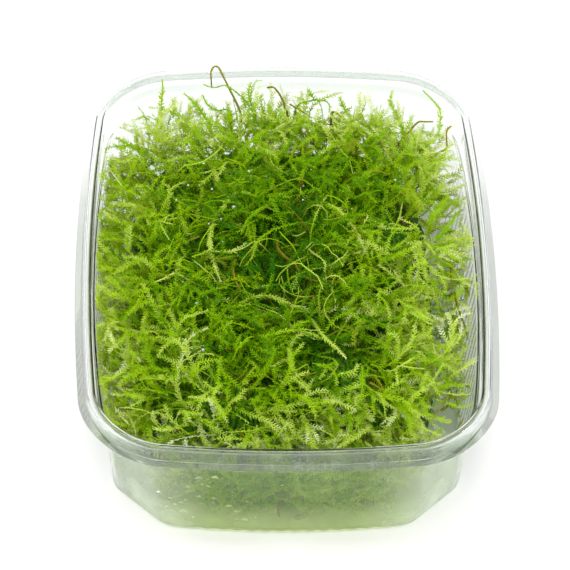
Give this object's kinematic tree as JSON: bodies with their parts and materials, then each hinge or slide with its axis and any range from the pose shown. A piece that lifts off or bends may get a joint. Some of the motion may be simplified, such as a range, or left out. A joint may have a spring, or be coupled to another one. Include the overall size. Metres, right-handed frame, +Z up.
{
  "type": "moss clump",
  "caption": "Loose clump of green creeping moss with long leafy shoots and bare stems, filling a clear rectangular tub with ribbed walls, cut corners and a rounded rim.",
  "frame": {"origin": "under the middle of the tub, on the surface it stands on", "axes": "+X across the tub, +Y along it towards the back as pictured, +Z up"},
  "size_m": [0.082, 0.1078, 0.0375],
  "materials": {
    "pet": "clear, glossy",
    "moss": "matt, leafy",
    "leafy": "matt, leafy",
    "pale": "matt, leafy",
    "olive": "matt, bare stem",
    "brown": "matt, bare stem"
  },
  "bodies": {
    "root": {"tub": "pet", "moss_clump": "moss", "rim_hook_stem": "olive", "back_arch_shoot": "leafy", "back_left_shoot": "leafy", "back_left_curl": "leafy", "tall_left_tip": "leafy", "left_corner_shoot": "leafy", "back_mid_tip": "leafy", "brown_arch_stem": "brown", "green_arch_stem": "leafy", "back_right_tip": "leafy", "brown_back_chain": "brown", "tall_right_tip": "leafy", "corner_shoot": "leafy", "corner_cross_stem": "brown", "dark_right_stem": "brown", "right_reach_shoot": "leafy", "right_low_shoot": "leafy", "right_brown_stem": "brown", "right_dark_shoot": "brown", "front_loop_shoot": "pale", "front_cross_shoot": "pale", "left_arc_shoot": "pale", "centre_arc_shoot": "leafy", "mid_arc_shoot": "leafy", "red_brown_stem": "brown", "short_brown_stem": "brown", "right_diag_shoot": "pale", "mid_cross_shoot": "pale", "pale_club_shoot": "pale", "front_left_shoot": "pale", "front_right_curve": "leafy", "left_wave_shoot": "pale", "fallen_front_stem": "brown", "floor_scrap_large": "leafy", "floor_scrap_small": "leafy", "floor_scrap_brown": "brown"}
  },
  "joints": []
}
